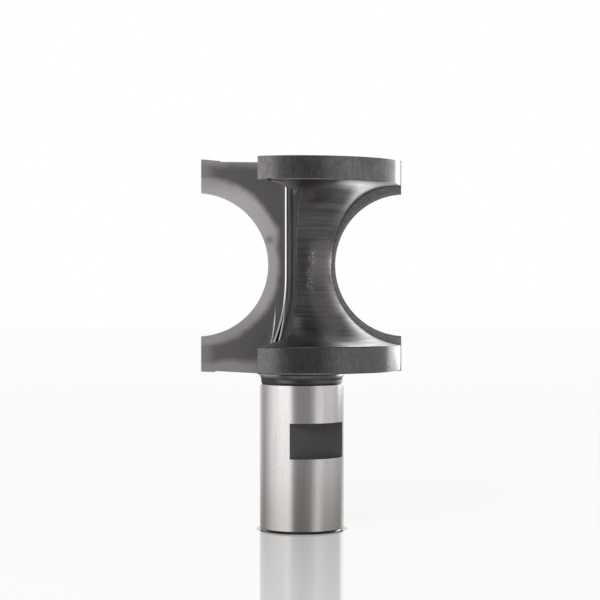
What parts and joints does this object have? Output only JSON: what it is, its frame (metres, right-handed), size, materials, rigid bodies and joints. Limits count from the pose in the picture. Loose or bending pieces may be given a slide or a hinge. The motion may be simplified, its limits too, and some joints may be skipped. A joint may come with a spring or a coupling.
{
  "type": "router bit",
  "caption": "Half-round (concave) router bit: brazed carbide edges on a waisted steel body, on a plain straight shank with a clamping flat.",
  "frame": {"origin": "centre of the shank's end face, on which the bit stands", "axes": "+Z along the turning axis from the shank's end to the free end, +X towards the tooth whose rake face looks along +Y"},
  "size_m": [0.048, 0.047, 0.088],
  "materials": {
    "tool_steel": "satin turned and ground",
    "carbide": "fine ground, matt"
  },
  "bodies": {
    "root": {"cutter_body": "tool_steel", "carbide_tip_1": "carbide", "carbide_tip_2": "carbide"}
  },
  "joints": []
}
